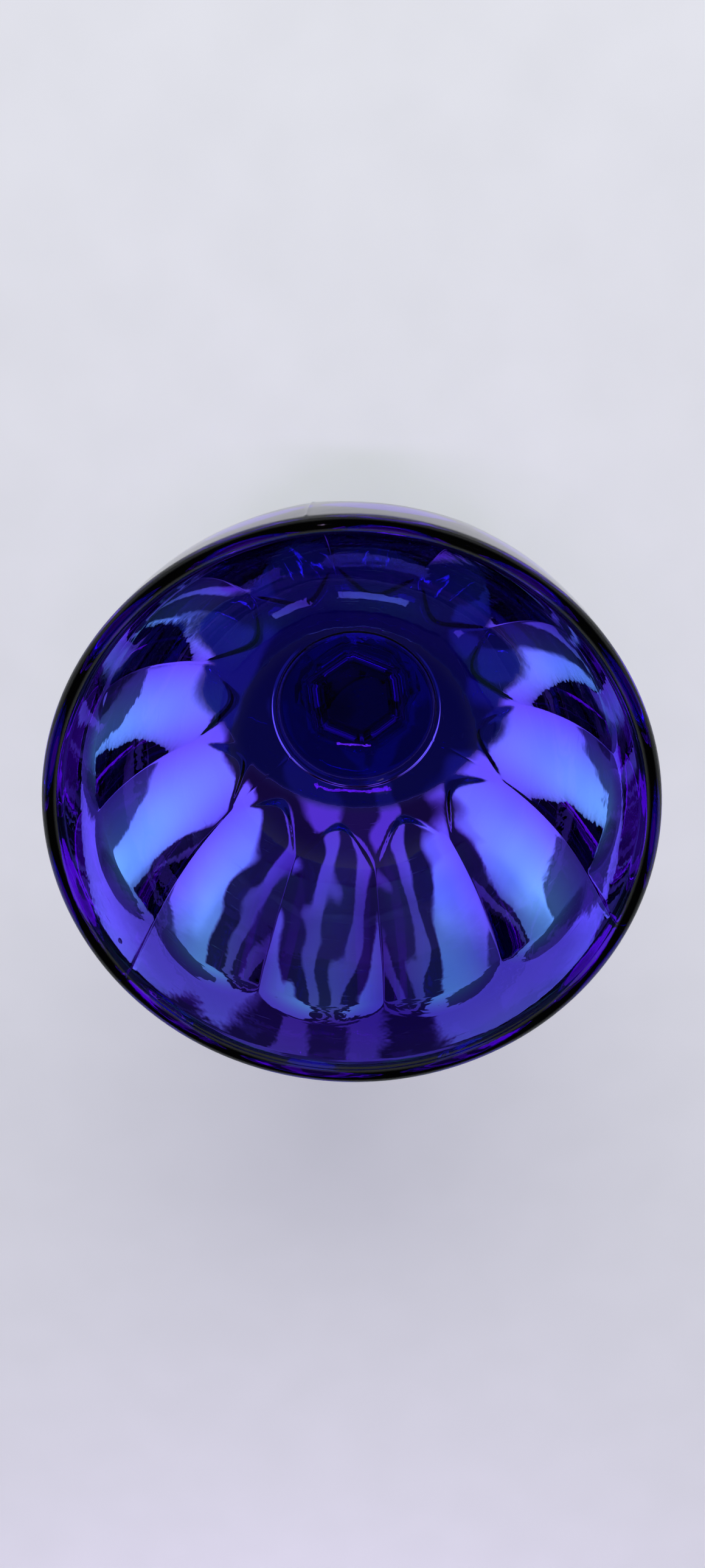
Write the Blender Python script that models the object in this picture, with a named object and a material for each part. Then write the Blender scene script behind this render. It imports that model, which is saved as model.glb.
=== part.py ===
"""Footed dessert dish in pressed glass: a twelve-fluted bowl, a six-sided stem and a round foot.

Metres, +Z up. The origin is the centre of the foot's flat underside and +Z is the turning axis,
pointing to the mouth. Flute ridges lie at every 30 degrees from +X, and so do the bowl's three
mould seams, at 30, 150 and 270 degrees. The stem's corners lie at 30 degrees and every 60 from it.
"""

import math

import bmesh
import bpy

# Driving dimensions
MOUTH_RADIUS = 0.0475
TOTAL_HEIGHT = 0.088
FUSE_GAP = 0.0003  # between two pieces whose faces are fused together

# The bowl's two walls are superellipses of depth below the rim: a radius at the mouth, and a reach
WALL_POWER = 2.6
OUTER_REACH = 1.26 * MOUTH_RADIUS
INNER_RADIUS = 0.91 * MOUTH_RADIUS
INNER_REACH = 1.15 * MOUTH_RADIUS
LIP_FLARE = 0.034 * MOUTH_RADIUS  # how much the inner wall opens out again at the lip
PAD_RADIUS = 0.335 * MOUTH_RADIUS  # the flat round pad under the bowl, where the stem is fused on

# Flutes, pressed into the bowl's outside
FLUTES = 12
FLUTE_DEPTH = 0.068  # at mid flute, as a share of the bowl's radius there
SHOULDER_DEPTH = 0.39 * MOUTH_RADIUS  # below the rim, where the ridges between the flutes begin
SHOULDER_RISE = 0.10 * MOUTH_RADIUS  # how much nearer the rim each flute's arched top reaches
SHOULDER_WIDTH = 0.055 * MOUTH_RADIUS  # of the steep wall under that arch
RUNOUT_DEPTH = 1.08 * MOUTH_RADIUS  # below the rim, where the ridges between the flutes end
RUNOUT_LENGTH = 0.10 * MOUTH_RADIUS  # how much further each flute's pointed tip reaches
RUNOUT_WIDTH = 0.05 * MOUTH_RADIUS  # of the wall round that tip

# Stem: a round collar, then six flat sides, with the corner radius given at each level
COLLAR_THICKNESS = 0.0024
STEM_SIDES = 6
STEM_TOP_CORNER = 0.265 * MOUTH_RADIUS
STEM_WAIST_CORNER = 0.146 * MOUTH_RADIUS
STEM_SHAFT_CORNER = 0.160 * MOUTH_RADIUS
STEM_BASE_CORNER = 0.225 * MOUTH_RADIUS
STEM_WAIST_Z = 0.0225
STEM_SHAFT_Z = 0.0145

# Foot: a flat underside, a half-round edge and a top that sweeps up to a flat pad for the stem
FOOT_RADIUS = 0.72 * MOUTH_RADIUS
FOOT_EDGE_THICKNESS = 0.0030
FOOT_PAD_RADIUS = 0.26 * MOUTH_RADIUS
FOOT_PAD_Z = 0.0072

# Mesh resolution
COLUMNS = FLUTES * 4
OUTER_STEPS = 32
INNER_STEPS = 14
LIP_STEPS = 4
FOOT_STEPS = 6
EDGE_STEPS = 4

QUARTER_TURN = math.pi / 2
PAD_Z = TOTAL_HEIGHT - OUTER_REACH * (1 - (PAD_RADIUS / MOUTH_RADIUS) ** WALL_POWER) ** (1 / WALL_POWER)
COBALT_GLASS = (0.012, 0.022, 0.52, 1.0)


def clear_scene():
    for obj in list(bpy.data.objects):
        bpy.data.objects.remove(obj, do_unlink=True)


def glass_material(name):
    material = bpy.data.materials.new(name)
    material.use_nodes = True
    shader = material.node_tree.nodes["Principled BSDF"]
    shader.inputs["Base Color"].default_value = COBALT_GLASS
    shader.inputs["Roughness"].default_value = 0.03
    shader.inputs["Metallic"].default_value = 0.0
    shader.inputs["IOR"].default_value = 1.52
    shader.inputs["Transmission Weight"].default_value = 1.0
    return material


def round_ring(radius, height):
    """A level circle, as a function of the azimuth that gives a radius, and its height."""
    return (lambda azimuth: radius), height


def polygon_ring(corner_radius, height):
    """A level regular polygon with a corner half a side's turn from +X."""
    half_side = math.pi / STEM_SIDES
    flat_radius = corner_radius * math.cos(half_side)

    def radius_at(azimuth):
        from_middle = azimuth % (2 * half_side)
        from_flat = min(from_middle, 2 * half_side - from_middle)
        return flat_radius / math.cos(from_flat)

    return radius_at, height


def lofted_solid(name, rings, parent):
    """One closed solid through a list of rings, from the first, which is capped, to the last."""
    mesh = bmesh.new()
    loops = []
    for radius_at, height in rings:
        loop = []
        for column in range(COLUMNS):
            azimuth = 2 * math.pi * column / COLUMNS
            radius = radius_at(azimuth)
            loop.append(mesh.verts.new((radius * math.cos(azimuth), radius * math.sin(azimuth), height)))
        loops.append(loop)
    for lower, upper in zip(loops, loops[1:]):
        for column in range(COLUMNS):
            following = (column + 1) % COLUMNS
            mesh.faces.new((lower[column], lower[following], upper[following], upper[column]))
    mesh.faces.new(reversed(loops[0]))
    mesh.faces.new(loops[-1])
    bmesh.ops.recalc_face_normals(mesh, faces=mesh.faces)
    data = bpy.data.meshes.new(name)
    mesh.to_mesh(data)
    mesh.free()
    data.shade_smooth()
    data.set_sharp_from_angle(angle=math.radians(20))
    data.materials.append(glass_material(name + "_glass"))
    obj = bpy.data.objects.new(name, data)
    obj.parent = parent
    bpy.context.scene.collection.objects.link(obj)
    return obj


def wall_point(turn, radius, reach):
    """A point on a wall's superellipse, from the rim (turn 0) to the axis (a quarter turn)."""
    across = radius * math.cos(turn) ** (2 / WALL_POWER)
    depth = reach * math.sin(turn) ** (2 / WALL_POWER)
    return across, depth


def end_wall(past, width):
    """How far a flute has opened, from 0 to 1, at a distance past its edge."""
    share = min(1.0, max(0.0, past / width))
    return share * share * (3 - 2 * share)


def flute_cut(azimuth, depth):
    """How far the flutes cut into the outer wall, as a share of its radius there."""
    pitch = 2 * math.pi / FLUTES
    from_middle = abs(azimuth % pitch - pitch / 2) / (pitch / 2)
    hollow = 1 - from_middle ** 2
    arch = SHOULDER_DEPTH - SHOULDER_RISE * hollow
    tip = RUNOUT_DEPTH + RUNOUT_LENGTH * hollow
    opening = end_wall(depth - arch, SHOULDER_WIDTH) * end_wall(tip - depth, RUNOUT_WIDTH)
    return FLUTE_DEPTH * hollow * opening


def fluted_ring(radius, depth):
    """A level ring of the bowl's outside, with the flutes cut into it."""
    return (lambda azimuth: radius * (1 - flute_cut(azimuth, depth))), TOTAL_HEIGHT - depth


def bowl_rings():
    """The bowl's section: up the outside from the pad, over the half-round lip and down the inside."""
    lip = (MOUTH_RADIUS - INNER_RADIUS - LIP_FLARE) / 2
    lip_centre = MOUTH_RADIUS - lip
    pad_turn = math.acos((PAD_RADIUS / MOUTH_RADIUS) ** (WALL_POWER / 2))
    outer_turn = math.asin((lip / OUTER_REACH) ** (WALL_POWER / 2))
    inner_turn = math.asin((lip / INNER_REACH) ** (WALL_POWER / 2))
    rings = []
    for step in range(OUTER_STEPS + 1):
        turn = pad_turn + (outer_turn - pad_turn) * step / OUTER_STEPS
        rings.append(fluted_ring(*wall_point(turn, MOUTH_RADIUS, OUTER_REACH)))
    for step in range(1, LIP_STEPS * 2):
        turn = QUARTER_TURN * step / LIP_STEPS
        height = TOTAL_HEIGHT - lip + lip * math.sin(turn)
        rings.append(round_ring(lip_centre + lip * math.cos(turn), height))
    for step in range(INNER_STEPS):
        turn = inner_turn + (QUARTER_TURN - inner_turn) * step / INNER_STEPS
        radius, depth = wall_point(turn, INNER_RADIUS, INNER_REACH)
        flare = LIP_FLARE * max(0.0, 1 - depth / SHOULDER_DEPTH) ** 2
        rings.append(round_ring(radius + flare, TOTAL_HEIGHT - depth))
    return rings


def half_round(outer_radius, thickness, bottom):
    """Rings up a half-round edge."""
    edge = thickness / 2
    rings = []
    for step in range(EDGE_STEPS * 2 + 1):
        turn = QUARTER_TURN * (step / EDGE_STEPS - 1)
        height = bottom + edge + edge * math.sin(turn)
        rings.append(round_ring(outer_radius - edge + edge * math.cos(turn), height))
    return rings


def stem_rings():
    """The stem, from its base on the foot, up past its waist to the round collar under the bowl."""
    collar_bottom = PAD_Z - FUSE_GAP - COLLAR_THICKNESS
    return [
        polygon_ring(STEM_BASE_CORNER, FOOT_PAD_Z + FUSE_GAP),
        polygon_ring(STEM_SHAFT_CORNER, STEM_SHAFT_Z),
        polygon_ring(STEM_WAIST_CORNER, STEM_WAIST_Z),
        polygon_ring(STEM_TOP_CORNER, collar_bottom),
        *half_round(PAD_RADIUS, COLLAR_THICKNESS, collar_bottom),
    ]


def foot_rings():
    """The foot, from its flat underside round its edge and up to the pad that carries the stem."""
    rings = half_round(FOOT_RADIUS, FOOT_EDGE_THICKNESS, 0)
    shoulder = FOOT_RADIUS - FOOT_EDGE_THICKNESS / 2
    sweep = shoulder - FOOT_PAD_RADIUS
    for step in range(1, FOOT_STEPS + 1):
        inward = step / FOOT_STEPS
        height = FOOT_EDGE_THICKNESS + (FOOT_PAD_Z - FOOT_EDGE_THICKNESS) * inward ** 2
        rings.append(round_ring(shoulder - sweep * inward, height))
    return rings


def main():
    clear_scene()
    dish = bpy.data.objects.new("dish_axis", None)
    bpy.context.scene.collection.objects.link(dish)
    lofted_solid("bowl", bowl_rings(), dish)
    lofted_solid("stem", stem_rings(), dish)
    lofted_solid("foot", foot_rings(), dish)


main()
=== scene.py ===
"""Looks for the footed dessert dish: cobalt pressed glass on a pale studio floor.

Every length is in metres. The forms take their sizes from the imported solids, as a share of the
mouth's radius, or as plain millimetres; the studio's own sizes are plain metres.
"""

import math

import bpy
from mathutils import Matrix, Vector, noise


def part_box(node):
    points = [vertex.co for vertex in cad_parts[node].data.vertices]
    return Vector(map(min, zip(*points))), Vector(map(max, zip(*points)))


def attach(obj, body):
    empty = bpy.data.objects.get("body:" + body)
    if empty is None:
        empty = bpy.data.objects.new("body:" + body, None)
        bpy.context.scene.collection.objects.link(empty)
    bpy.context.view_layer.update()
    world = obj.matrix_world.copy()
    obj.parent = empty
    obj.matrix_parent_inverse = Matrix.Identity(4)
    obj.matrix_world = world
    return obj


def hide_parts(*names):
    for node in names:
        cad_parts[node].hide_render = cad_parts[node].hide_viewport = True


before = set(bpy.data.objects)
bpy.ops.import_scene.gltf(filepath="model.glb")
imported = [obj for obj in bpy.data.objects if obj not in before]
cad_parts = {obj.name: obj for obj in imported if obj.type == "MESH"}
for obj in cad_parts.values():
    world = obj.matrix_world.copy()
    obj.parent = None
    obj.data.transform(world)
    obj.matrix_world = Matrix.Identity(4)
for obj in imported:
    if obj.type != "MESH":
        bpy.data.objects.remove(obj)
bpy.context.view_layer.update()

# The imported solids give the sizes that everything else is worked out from
BOWL_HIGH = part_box("bowl")[1]
STEM_LOW, STEM_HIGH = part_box("stem")
FOOT_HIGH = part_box("foot")[1]
MOUTH_RADIUS = BOWL_HIGH.x
RIM_Z = BOWL_HIGH.z
PAD_RADIUS = STEM_HIGH.x
FOOT_RADIUS = FOOT_HIGH.x
FOOT_PAD_Z = FOOT_HIGH.z
MM = 0.001

# Bowl walls: superellipses, whose reach is how far below the rim they end
WALL_POWER = 2.6
OUTER_REACH = 1.26 * MOUTH_RADIUS
INNER_RADIUS = 0.91 * MOUTH_RADIUS
INNER_REACH = 1.15 * MOUTH_RADIUS
LIP_FLARE = 0.034 * MOUTH_RADIUS
LIP_RADIUS = (MOUTH_RADIUS - INNER_RADIUS - LIP_FLARE) / 2

# Flutes: arched at the shoulder near the rim and run out near the stem; their depth is a share of the radius
FLUTES = 12
FLUTE_DEPTH = 0.068
FLUTE_POWER = 2.0
SHOULDER_DEPTH = 0.39 * MOUTH_RADIUS
SHOULDER_RISE = 0.10 * MOUTH_RADIUS
SHOULDER_WIDTH = 0.055 * MOUTH_RADIUS
RUNOUT_DEPTH = 1.08 * MOUTH_RADIUS
RUNOUT_LENGTH = 0.10 * MOUTH_RADIUS
RUNOUT_WIDTH = 0.05 * MOUTH_RADIUS
EDGE_SOFTNESS = 0.012

# Mould seams
SEAM_AZIMUTHS = [math.radians(angle) for angle in (30, 150, 270)]
SEAM_HEIGHT = 0.12 * MM
SEAM_WIDTH = 0.18 * MM

# Unevenness of the pressed walls
WAVE_HEIGHT = 0.06 * MM
WAVE_LENGTH = 9 * MM
FADE_SLOPE = 8

# Groove round the stem's collar
GROOVE_WIDTH = 0.03 * MOUTH_RADIUS
GROOVE_DEPTH = 0.5 * MM

# Stem
STEM_SIDES = 6
STEM_TOP_CORNER = 0.265 * MOUTH_RADIUS
STEM_WAIST_CORNER = 0.146 * MOUTH_RADIUS
STEM_SHAFT_CORNER = 0.160 * MOUTH_RADIUS
STEM_BASE_CORNER = 0.225 * MOUTH_RADIUS
STEM_WAIST_Z = 22.5 * MM
STEM_SHAFT_Z = 14.5 * MM
COLLAR_THICKNESS = 2.4 * MM

# Foot
FOOT_EDGE_THICKNESS = 3.0 * MM
FOOT_PAD_RADIUS = 0.26 * MOUTH_RADIUS

# How finely each form is turned
HALF_FLUTE_COLUMNS = 12
OUTER_STEPS = 220
INNER_STEPS = 110
ROUND_EDGE_STEPS = 16
STEM_COLUMNS = 96
FOOT_COLUMNS = 192
FOOT_SWEEP_STEPS = 24

# Glass
WALL_TINT = (0.17, 0.68, 1.0, 1.0)
STEM_TINT = (0.24, 0.60, 1.0, 1.0)
FOOT_TINT = (0.32, 0.85, 1.0, 1.0)
GLASS_IOR = 1.52
WALL_DENSITY = 500.0
FOOT_DENSITY = 250.0
ABSORPTION_COLOR = (0.86, 0.14, 0.88, 1.0)

# Small detail of the glass: each noise fades in between its start and its end
NOISE_DETAIL = 2.0
STREAK_SCALE = 40.0
STREAK_START = 0.35
STREAK_END = 0.7
STREAK_SHADE = 0.75
HAZE_SCALE = 90.0
HAZE_START = 0.45
HAZE_END = 0.75
HAZE_ROUGHNESS = 0.03
SCUFF_SCALES = (160.0, 160.0, 2600.0)
SCUFF_DETAIL = 4.0
SCUFF_START = 0.66
SCUFF_END = 0.74
SCUFF_ROUGHNESS = 0.22
PEEL_SCALE = 330.0
PEEL_DEPTH = 0.02 * MM
MARK_RADIUS = 0.6 * MM
MARK_DEPTH = 14.0
MARK_PLACES = [(math.radians(19.3), 0.05), (math.radians(24.4), 0.15)]

# Sockets of a Mix node that mixes colours
COLOR_A = 6
COLOR_B = 7
COLOR_RESULT = 2

# Floor
FLOOR_HALF = 20
FLOOR_DROP = 0.2 * MM
FLOOR_DARK = 0.76
FLOOR_LIGHT = 0.84
FLOOR_GRAIN_SCALE = 60.0
FLOOR_GRAIN_DETAIL = 6.0
FLOOR_ROUGHNESS = 0.55
FLOOR_GLOW = 0.32
FLOOR_GLOW_COLOR = (0.88, 0.94, 1.0, 1.0)

# Light card: two lit panels, one at each side of the dish as the camera sees it
CARD_HALF = 0.3
CARD_DROP = 0.1 * MM
CARD_BLUR = 0.003
CARD_DARK = 0.05
CARD_REST = 0.06
PANEL_GLOW = 1.65
PANEL_HUE = (0.8, 0.88, 1.0, 1.0)
PANEL_START = 0.022
PANEL_END = 0.058
PANEL_END_SHARE = 0.15
PANEL_FRONT = 0.01
PANEL_BACK = 0.04
PANEL_BACK_BLUR = 0.03
PANEL_BACK_SHARE = 0.35

# Light card: thin strips between the panels, a bar across the front, and a lit far part
STRIP_GLOW = 0.85
STRIP_HUE = (0.85, 0.5, 1.0, 1.0)
STRIP_START = 0.004
STRIP_END = 0.012
STRIP_BLUR = 0.002
BAR_START = 0.028
BAR_END = 0.034
FAR_EDGE = 0.055
FAR_GLOW = 0.9

# Light card: under the foot the pattern is fainter, and an even glow is added
UNDER_FOOT_SHARE = 0.12
UNDER_FOOT_GLOW = 0.08

# Light card: noise that bends the edges of the pattern
RIPPLE_SCALE = 25.0
RIPPLE_REACH = (0.06, 0.06, 0.06)
RIPPLE_MIDDLE = (0.5, 0.5, 0.5)

# World: pale round the horizon and dark overhead
WORLD_COLOR = (0.9, 0.95, 1.0, 1.0)
WORLD_PALE = 0.5
WORLD_DARK = 0.02
WORLD_FADE_START = 0.25
WORLD_FADE_END = 0.75

# Softboxes: name, azimuth, elevation, distance, size, watts, colour, and whether the glass shows it
WHITE = (1.0, 1.0, 1.0)
VIOLET = (0.75, 0.55, 1.0)
SOFTBOXES = [
    ("key", math.radians(-100), math.radians(30), 0.9, (0.7, 0.4), 5.0, WHITE, False),
    ("low_strip", math.radians(80), math.radians(12), 0.5, (0.30, 0.06), 0.4, VIOLET, True),
    ("high_strip", math.radians(-100), math.radians(84), 0.5, (0.20, 0.015), 0.3, VIOLET, True),
]

# Camera
CAMERA_AZIMUTH = math.radians(-100.0)
CAMERA_OFF_AXIS = math.radians(24.81)
CAMERA_DISTANCE = 3.792 * MOUTH_RADIUS
CAMERA_AIM_DEPTH = 0.378 * MOUTH_RADIUS
CAMERA_ROLL = math.radians(-177.2)
CAMERA_LENS = 27.04
CAMERA_CLIP = 0.01


def turned_faces(rows, count):
    """Faces that join rows of points into a tube, and close both its ends."""
    faces = []
    for row in range(rows - 1):
        low, high = row * count, (row + 1) * count
        for column in range(count):
            following = (column + 1) % count
            faces.append((low + column, low + following, high + following, high + column))
    last = (rows - 1) * count
    faces.append(tuple(reversed(range(count))))
    faces.append(tuple(range(last, last + count)))
    return faces


def glass_piece(name, node, loops, material):
    """A closed turned mesh through a list of loops of points, which stands for a CAD node."""
    data = bpy.data.meshes.new(name)
    vertices = [point for loop in loops for point in loop]
    data.from_pydata(vertices, [], turned_faces(len(loops), len(loops[0])))
    data.validate()
    data.shade_smooth()
    data.materials.append(material)
    piece = bpy.data.objects.new(name, data)
    bpy.context.scene.collection.objects.link(piece)
    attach(piece, "root")
    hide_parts(node)


def on_axis(radius, azimuth, height):
    return radius * math.cos(azimuth), radius * math.sin(azimuth), height


def wall_turn(depth, reach):
    """The turn at which a wall is a given depth below the rim."""
    return math.asin((depth / reach) ** (WALL_POWER / 2))


def wall_point(turn, radius, reach):
    """Radius and depth below the rim of a wall, from its brim at turn 0 to its bottom at a right angle."""
    across = radius * math.cos(turn) ** (2 / WALL_POWER)
    depth = reach * math.sin(turn) ** (2 / WALL_POWER)
    return across, depth


def end_wall(past, width):
    """How far a flute has opened, from 0 to 1, at a distance past its edge."""
    share = min(1, max(0, past / width))
    return share * share * (3 - 2 * share)


def flute_cut(azimuth, depth):
    """Depth of a flute as a share of the wall's radius: arched at the top and pointed at its lower end."""
    pitch = 2 * math.pi / FLUTES
    from_middle = abs(azimuth % pitch - pitch / 2) / (pitch / 2)
    hollow = math.hypot(1 - from_middle ** FLUTE_POWER, EDGE_SOFTNESS) - EDGE_SOFTNESS
    arch = SHOULDER_DEPTH - SHOULDER_RISE * hollow
    tip = RUNOUT_DEPTH + RUNOUT_LENGTH * hollow
    opening = end_wall(depth - arch, SHOULDER_WIDTH) * end_wall(tip - depth, RUNOUT_WIDTH)
    return FLUTE_DEPTH * hollow * opening


def seam_ridge(azimuth, radius):
    """Height of the thin lines that the parts of the mould leave."""
    height = 0
    for seam in SEAM_AZIMUTHS:
        away = abs((azimuth - seam + math.pi) % (2 * math.pi) - math.pi) * radius
        height += SEAM_HEIGHT * math.exp(-(away / SEAM_WIDTH) ** 2)
    return height


def wave(place):
    """Slow unevenness of pressed glass."""
    return WAVE_HEIGHT * noise.noise(Vector(place) / WAVE_LENGTH)


def fade_in(step, steps):
    """0 at both ends of a run of loops and 1 along its middle."""
    return min(1, FADE_SLOPE * step / steps, FADE_SLOPE * (steps - step) / steps)


def swelled(point, swell):
    x, y, z = point
    return x * swell, y * swell, z


def collar_groove(radius):
    """How far the underside of the bowl is cut in just outside the stem's collar."""
    across = (radius - PAD_RADIUS) / GROOVE_WIDTH
    if across <= 0 or across >= 1:
        return 0
    return GROOVE_DEPTH * math.sin(math.pi * across) ** 2


def flute_azimuths():
    """Columns round the bowl, closer together at the ridges between the flutes."""
    pitch = 2 * math.pi / FLUTES
    azimuths = []
    for flute in range(FLUTES):
        for step in range(2 * HALF_FLUTE_COLUMNS):
            across = math.sin(math.pi / 2 * (step / HALF_FLUTE_COLUMNS - 1))
            azimuths.append(pitch * (flute + 0.5 + across / 2))
    return azimuths


def outer_loop(azimuths, turn, strength):
    """One loop of the fluted outside; strength is how much of the unevenness it takes."""
    radius, depth = wall_point(turn, MOUTH_RADIUS, OUTER_REACH)
    height = RIM_Z - depth + collar_groove(radius)
    loop = []
    for azimuth in azimuths:
        cut = radius * (1 - flute_cut(azimuth, depth)) + seam_ridge(azimuth, radius)
        point = on_axis(cut, azimuth, height)
        loop.append(swelled(point, 1 + strength * wave(point) / radius))
    return loop


def inner_loop(azimuths, turn, strength):
    """One loop of the smooth inside, which flares at the lip."""
    radius, depth = wall_point(turn, INNER_RADIUS, INNER_REACH)
    radius += LIP_FLARE * max(0.0, 1 - depth / SHOULDER_DEPTH) ** 2
    loop = []
    for azimuth in azimuths:
        x, y, z = on_axis(radius, azimuth, RIM_Z - depth)
        loop.append(swelled((x, y, z), 1 + strength * wave((y, z, x)) / radius))
    return loop


def lip_loops(azimuths):
    """The half-round lip, from the outside over to the inside."""
    loops = []
    for step in range(1, ROUND_EDGE_STEPS):
        turn = math.pi * step / ROUND_EDGE_STEPS
        radius = MOUTH_RADIUS - LIP_RADIUS + LIP_RADIUS * math.cos(turn)
        height = RIM_Z - LIP_RADIUS + LIP_RADIUS * math.sin(turn)
        loops.append([on_axis(radius, azimuth, height) for azimuth in azimuths])
    return loops


def bowl_loops():
    """The outside from the stem up to the lip, then the inside down to its bottom."""
    azimuths = flute_azimuths()
    loops = []
    start = math.acos((PAD_RADIUS / MOUTH_RADIUS) ** (WALL_POWER / 2))
    end = wall_turn(LIP_RADIUS, OUTER_REACH)
    for step in range(OUTER_STEPS + 1):
        turn = start + (end - start) * step / OUTER_STEPS
        loops.append(outer_loop(azimuths, turn, fade_in(step, OUTER_STEPS)))
    loops += lip_loops(azimuths)
    start = wall_turn(LIP_RADIUS, INNER_REACH)
    end = math.pi / 2
    for step in range(INNER_STEPS):
        turn = start + (end - start) * step / INNER_STEPS
        loops.append(inner_loop(azimuths, turn, fade_in(step, INNER_STEPS)))
    return loops


def even_azimuths(count):
    return [2 * math.pi * column / count for column in range(count)]


def polygon_radius(corner_radius, azimuth):
    """Distance from the axis to the side of the six-sided stem."""
    half_side = math.pi / STEM_SIDES
    from_middle = azimuth % (2 * half_side)
    from_flat = min(from_middle, 2 * half_side - from_middle)
    return corner_radius * math.cos(half_side) / math.cos(from_flat)


def round_edge_loops(azimuths, outer_radius, thickness, bottom):
    """A half-round edge from its bottom to its top."""
    bead = thickness / 2
    loops = []
    for step in range(ROUND_EDGE_STEPS + 1):
        turn = math.pi * (step / ROUND_EDGE_STEPS - 0.5)
        radius = outer_radius - bead + bead * math.cos(turn)
        height = bottom + bead + bead * math.sin(turn)
        loops.append([on_axis(radius, azimuth, height) for azimuth in azimuths])
    return loops


def stem_loops():
    """Six flat sides that narrow to a waist, then the round collar under the bowl."""
    azimuths = even_azimuths(STEM_COLUMNS)
    collar_bottom = STEM_HIGH.z - COLLAR_THICKNESS
    sections = [
        (STEM_BASE_CORNER, STEM_LOW.z),
        (STEM_SHAFT_CORNER, STEM_SHAFT_Z),
        (STEM_WAIST_CORNER, STEM_WAIST_Z),
        (STEM_TOP_CORNER, collar_bottom),
    ]
    loops = []
    for corner, height in sections:
        loops.append([on_axis(polygon_radius(corner, a), a, height) for a in azimuths])
    return loops + round_edge_loops(azimuths, PAD_RADIUS, COLLAR_THICKNESS, collar_bottom)


def foot_loops():
    """A disc with a half-round edge, and a top that sweeps up to the stem."""
    azimuths = even_azimuths(FOOT_COLUMNS)
    loops = round_edge_loops(azimuths, FOOT_RADIUS, FOOT_EDGE_THICKNESS, 0)
    start = FOOT_RADIUS - FOOT_EDGE_THICKNESS / 2
    for step in range(1, FOOT_SWEEP_STEPS + 1):
        inward = step / FOOT_SWEEP_STEPS
        radius = start - (start - FOOT_PAD_RADIUS) * inward
        height = FOOT_EDGE_THICKNESS + (FOOT_PAD_Z - FOOT_EDGE_THICKNESS) * inward ** 2
        loops.append([on_axis(radius, azimuth, height) for azimuth in azimuths])
    return loops


def math_node(tree, operation, first, second=None):
    node = tree.nodes.new("ShaderNodeMath")
    node.operation = operation
    tree.links.new(first, node.inputs[0])
    if second is not None:
        tree.links.new(second, node.inputs[1])
    return node.outputs["Value"]


def product(tree, first, *others):
    for other in others:
        first = math_node(tree, "MULTIPLY", first, other)
    return first


def vector_node(tree, operation, *values):
    """A vector math node whose inputs are sockets or fixed vectors."""
    node = tree.nodes.new("ShaderNodeVectorMath")
    node.operation = operation
    for value, socket in zip(values, node.inputs):
        if isinstance(value, tuple):
            socket.default_value = value
        else:
            tree.links.new(value, socket)
    return node


def fade_node(tree, value, start, end, first, last):
    """A soft step from first to last as value goes from start to end."""
    node = tree.nodes.new("ShaderNodeMapRange")
    node.interpolation_type = "SMOOTHSTEP"
    node.inputs["From Min"].default_value = start
    node.inputs["From Max"].default_value = end
    node.inputs["To Min"].default_value = first
    node.inputs["To Max"].default_value = last
    tree.links.new(value, node.inputs["Value"])
    return node.outputs["Result"]


def noise_node(tree, place, scale, detail=NOISE_DETAIL):
    node = tree.nodes.new("ShaderNodeTexNoise")
    node.inputs["Scale"].default_value = scale
    node.inputs["Detail"].default_value = detail
    tree.links.new(place, node.inputs["Vector"])
    return node


def mixed_color(tree, share, first, last):
    """A colour from first, where share is 0, to last, where it is 1."""
    node = tree.nodes.new("ShaderNodeMix")
    node.data_type = "RGBA"
    node.inputs[COLOR_A].default_value = first
    node.inputs[COLOR_B].default_value = last
    tree.links.new(share, node.inputs["Factor"])
    return node.outputs[COLOR_RESULT]


def streaked_tint(tree, place, tint):
    """Slow streaks of slightly deeper colour, as in poured glass."""
    red, green, blue, alpha = tint
    deeper = (red * STREAK_SHADE, green * STREAK_SHADE, blue, alpha)
    streaks = noise_node(tree, place, STREAK_SCALE).outputs["Fac"]
    share = fade_node(tree, streaks, STREAK_START, STREAK_END, 0, 1)
    return mixed_color(tree, share, tint, deeper)


def scuffs(tree, place):
    """Fine short scratches: the thin peaks of a noise that is stretched round the dish."""
    stretched = vector_node(tree, "MULTIPLY", place, SCUFF_SCALES).outputs["Vector"]
    scratches = noise_node(tree, stretched, 1.0, SCUFF_DETAIL).outputs["Fac"]
    return fade_node(tree, scratches, SCUFF_START, SCUFF_END, 0, 1)


def worn_roughness(tree, place):
    """Smooth glass with faint hazy patches and rougher scratches."""
    patches = noise_node(tree, place, HAZE_SCALE).outputs["Fac"]
    haze = fade_node(tree, patches, HAZE_START, HAZE_END, 0, HAZE_ROUGHNESS)
    wear = fade_node(tree, scuffs(tree, place), 0, 1, 0, SCUFF_ROUGHNESS)
    return math_node(tree, "MAXIMUM", haze, wear)


def mark_height(tree, place, centre):
    """A small round mark left in the surface by the mould."""
    away = vector_node(tree, "DISTANCE", place, centre).outputs["Value"]
    return fade_node(tree, away, 0, MARK_RADIUS, MARK_DEPTH, 0)


def surface_bump(tree, place, marks):
    """The faint orange peel of pressed glass, and the marks."""
    height = noise_node(tree, place, PEEL_SCALE).outputs["Fac"]
    for centre in marks:
        height = math_node(tree, "ADD", height, mark_height(tree, place, centre))
    bump = tree.nodes.new("ShaderNodeBump")
    bump.inputs["Distance"].default_value = PEEL_DEPTH
    tree.links.new(height, bump.inputs["Height"])
    return bump.outputs["Normal"]


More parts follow.
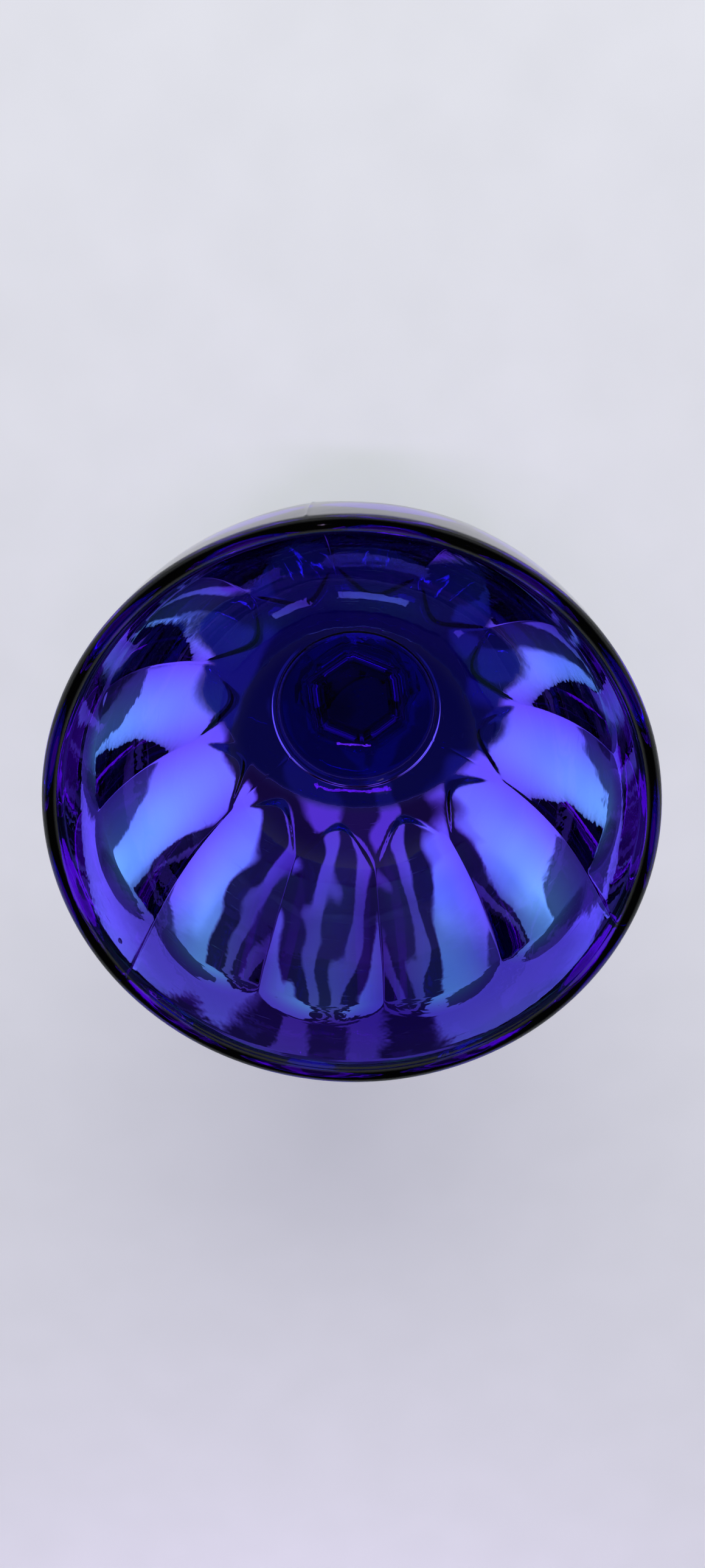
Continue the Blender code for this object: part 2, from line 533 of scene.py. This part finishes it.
def glass_material(name, tint, density, marks=()):
    """Cobalt glass: a tint at each surface, and absorption that deepens it where the glass is thick."""
    material = bpy.data.materials.new(name)
    material.use_nodes = True
    tree = material.node_tree
    shader = tree.nodes["Principled BSDF"]
    shader.inputs["IOR"].default_value = GLASS_IOR
    shader.inputs["Transmission Weight"].default_value = 1.0
    place = tree.nodes.new("ShaderNodeTexCoord").outputs["Object"]
    tree.links.new(streaked_tint(tree, place, tint), shader.inputs["Base Color"])
    tree.links.new(worn_roughness(tree, place), shader.inputs["Roughness"])
    tree.links.new(surface_bump(tree, place, marks), shader.inputs["Normal"])
    absorption = tree.nodes.new("ShaderNodeVolumeAbsorption")
    absorption.inputs["Color"].default_value = ABSORPTION_COLOR
    absorption.inputs["Density"].default_value = density
    tree.links.new(absorption.outputs["Volume"], tree.nodes["Material Output"].inputs["Volume"])
    return material


def stage_square(name, half, height, material):
    """A flat square of the studio, centred under the dish."""
    corners = [(-half, -half, 0), (half, -half, 0), (half, half, 0), (-half, half, 0)]
    data = bpy.data.meshes.new(name)
    data.from_pydata(corners, [], [(0, 1, 2, 3)])
    data.materials.append(material)
    square = bpy.data.objects.new(name, data)
    square.location.z = height
    bpy.context.scene.collection.objects.link(square)
    return square


def floor_material():
    """Pale matt paper with a fine grain, which glows a little so that its far part stays pale."""
    material = bpy.data.materials.new("pale_floor")
    material.use_nodes = True
    tree = material.node_tree
    shader = tree.nodes["Principled BSDF"]
    place = tree.nodes.new("ShaderNodeTexCoord").outputs["Object"]
    fibres = noise_node(tree, place, FLOOR_GRAIN_SCALE, FLOOR_GRAIN_DETAIL).outputs["Fac"]
    grain = fade_node(tree, fibres, 0, 1, FLOOR_DARK, FLOOR_LIGHT)
    tint = tree.nodes.new("ShaderNodeCombineColor")
    for channel in ("Red", "Green", "Blue"):
        tree.links.new(grain, tint.inputs[channel])
    tree.links.new(tint.outputs["Color"], shader.inputs["Base Color"])
    shader.inputs["Roughness"].default_value = FLOOR_ROUGHNESS
    shader.inputs["Specular IOR Level"].default_value = 0.0
    shader.inputs["Emission Color"].default_value = FLOOR_GLOW_COLOR
    shader.inputs["Emission Strength"].default_value = FLOOR_GLOW
    return material


def make_floor():
    stage_square("floor", FLOOR_HALF, -FLOOR_DROP, floor_material())


def distance_along(tree, place, azimuth):
    return vector_node(tree, "DOT_PRODUCT", place, on_axis(1, azimuth, 0)).outputs["Value"]


def rippled(tree, place):
    """The place moved about by noise, so that what is drawn with it has wavy edges."""
    ripple = noise_node(tree, place, RIPPLE_SCALE).outputs["Color"]
    centred = vector_node(tree, "SUBTRACT", ripple, RIPPLE_MIDDLE).outputs["Vector"]
    return vector_node(tree, "MULTIPLY_ADD", centred, RIPPLE_REACH, place).outputs["Vector"]


def panel_glow(tree, across, toward):
    """The two lit panels and the strips between them, cut off in front and fainter behind."""
    start = fade_node(tree, across, PANEL_START, PANEL_START + CARD_BLUR, 0, PANEL_GLOW)
    end = fade_node(tree, across, PANEL_END, PANEL_END + CARD_BLUR, 1, PANEL_END_SHARE)
    strip_start = fade_node(tree, across, STRIP_START, STRIP_START + STRIP_BLUR, CARD_DARK, STRIP_GLOW)
    strip_end = fade_node(tree, across, STRIP_END, STRIP_END + STRIP_BLUR, 1, 0)
    strip_front = fade_node(tree, toward, -CARD_BLUR, 0, 1, CARD_DARK)
    strips = product(tree, strip_start, strip_end, strip_front)
    both = math_node(tree, "ADD", product(tree, start, end), strips)
    front = fade_node(tree, toward, PANEL_FRONT, PANEL_FRONT + CARD_BLUR, 1, CARD_DARK)
    back = fade_node(tree, toward, -PANEL_BACK - PANEL_BACK_BLUR, -PANEL_BACK, PANEL_BACK_SHARE, 1)
    return product(tree, both, front, back)


def front_glow(tree, toward):
    """A lit part far out on the camera's side, a bar nearer the dish, and a faint glow elsewhere."""
    far = fade_node(tree, toward, FAR_EDGE, FAR_EDGE + CARD_BLUR, CARD_REST, FAR_GLOW)
    bar_start = fade_node(tree, toward, BAR_START, BAR_START + STRIP_BLUR, 0, STRIP_GLOW)
    bar_end = fade_node(tree, toward, BAR_END, BAR_END + STRIP_BLUR, 1, 0)
    return math_node(tree, "ADD", far, product(tree, bar_start, bar_end))


def past_foot(tree, place, inside, outside):
    """One value under the foot and another beyond its edge."""
    reach = vector_node(tree, "LENGTH", place).outputs["Value"]
    return fade_node(tree, reach, FOOT_RADIUS, FOOT_RADIUS + CARD_BLUR, inside, outside)


def card_material():
    material = bpy.data.materials.new("light_card")
    material.use_nodes = True
    tree = material.node_tree
    tree.nodes.clear()
    place = tree.nodes.new("ShaderNodeNewGeometry").outputs["Position"]
    bent = rippled(tree, place)
    across = math_node(tree, "ABSOLUTE", distance_along(tree, bent, CAMERA_AZIMUTH + math.pi / 2))
    toward = distance_along(tree, bent, CAMERA_AZIMUTH)
    pattern = math_node(tree, "ADD", panel_glow(tree, across, toward), front_glow(tree, toward))
    shaded = product(tree, pattern, past_foot(tree, place, UNDER_FOOT_SHARE, 1))
    strength = math_node(tree, "ADD", shaded, past_foot(tree, place, UNDER_FOOT_GLOW, 0))
    panel_share = fade_node(tree, across, PANEL_START, PANEL_START + CARD_BLUR, 0, 1)
    hue_share = math_node(tree, "MAXIMUM", panel_share, past_foot(tree, place, 1, 0))
    glow = tree.nodes.new("ShaderNodeEmission")
    tree.links.new(mixed_color(tree, hue_share, STRIP_HUE, PANEL_HUE), glow.inputs["Color"])
    tree.links.new(strength, glow.inputs["Strength"])
    out = tree.nodes.new("ShaderNodeOutputMaterial")
    tree.links.new(glow.outputs["Emission"], out.inputs["Surface"])
    return material


def make_light_card():
    """Lit panels and strips on a dark card, between the floor and the foot.

    Only rays that have gone through the glass see it: it gives the glass bright and dark parts
    while the floor stays plain.
    """
    card = stage_square("light_card", CARD_HALF, -CARD_DROP, card_material())
    card.visible_camera = False
    card.visible_diffuse = False
    card.visible_glossy = False
    card.visible_shadow = False


def softbox(name, azimuth, elevation, distance, size, power, color, through_glass):
    """An area light aimed at the middle of the dish, unseen except, if asked, through the glass."""
    level = math.cos(elevation)
    out = Vector((level * math.cos(azimuth), level * math.sin(azimuth), math.sin(elevation)))
    light = bpy.data.lights.new(name, "AREA")
    light.shape = "RECTANGLE"
    light.size, light.size_y = size
    light.energy = power
    light.color = color
    lamp = bpy.data.objects.new(name, light)
    lamp.location = Vector((0, 0, RIM_Z / 2)) + out * distance
    lamp.rotation_mode = "QUATERNION"
    lamp.rotation_quaternion = (-out).to_track_quat("-Z", "Y")
    lamp.visible_camera = False
    lamp.visible_glossy = False
    lamp.visible_transmission = through_glass
    bpy.context.scene.collection.objects.link(lamp)


def make_world():
    """Soft light from all round the horizon, and little from overhead."""
    world = bpy.data.worlds.new("studio")
    world.use_nodes = True
    tree = world.node_tree
    background = tree.nodes["Background"]
    place = tree.nodes.new("ShaderNodeTexCoord")
    split = tree.nodes.new("ShaderNodeSeparateXYZ")
    tree.links.new(place.outputs["Generated"], split.inputs["Vector"])
    height = split.outputs["Z"]
    strength = fade_node(tree, height, WORLD_FADE_START, WORLD_FADE_END, WORLD_PALE, WORLD_DARK)
    tree.links.new(strength, background.inputs["Strength"])
    background.inputs["Color"].default_value = WORLD_COLOR
    bpy.context.scene.world = world


def light_studio():
    """The world and the softboxes, with colours shown plainly."""
    make_world()
    for settings in SOFTBOXES:
        softbox(*settings)
    bpy.context.scene.view_settings.view_transform = "Standard"


def mould_marks():
    """Where two small marks sit on the outside, near a mould seam."""
    marks = []
    for azimuth, share in MARK_PLACES:
        marks.append(on_axis(MOUTH_RADIUS, azimuth, RIM_Z - share * MOUTH_RADIUS))
    return marks


def aim_camera():
    """The camera, which looks down into the mouth from one side and is rolled almost upside down."""
    data = bpy.data.cameras.new("camera")
    data.lens = CAMERA_LENS
    data.clip_start = CAMERA_CLIP
    camera = bpy.data.objects.new("camera", data)
    out = Vector((
        math.sin(CAMERA_OFF_AXIS) * math.cos(CAMERA_AZIMUTH),
        math.sin(CAMERA_OFF_AXIS) * math.sin(CAMERA_AZIMUTH),
        math.cos(CAMERA_OFF_AXIS),
    ))
    rim_centre = Vector((0, 0, RIM_Z))
    camera.location = rim_centre + out * CAMERA_DISTANCE
    aim = rim_centre - Vector((0, 0, CAMERA_AIM_DEPTH))
    upright = (aim - camera.location).to_track_quat("-Z", "Y").to_matrix()
    camera.rotation_mode = "QUATERNION"
    camera.rotation_quaternion = (upright @ Matrix.Rotation(CAMERA_ROLL, 3, "Z")).to_quaternion()
    bpy.context.scene.collection.objects.link(camera)
    bpy.context.scene.camera = camera


bowl_glass = glass_material("bowl_glass", WALL_TINT, WALL_DENSITY, mould_marks())
stem_glass = glass_material("stem_glass", STEM_TINT, WALL_DENSITY)
foot_glass = glass_material("foot_glass", FOOT_TINT, FOOT_DENSITY)
glass_piece("glass_bowl", "bowl", bowl_loops(), bowl_glass)
glass_piece("glass_stem", "stem", stem_loops(), stem_glass)
glass_piece("glass_foot", "foot", foot_loops(), foot_glass)
make_floor()
make_light_card()
light_studio()
aim_camera()
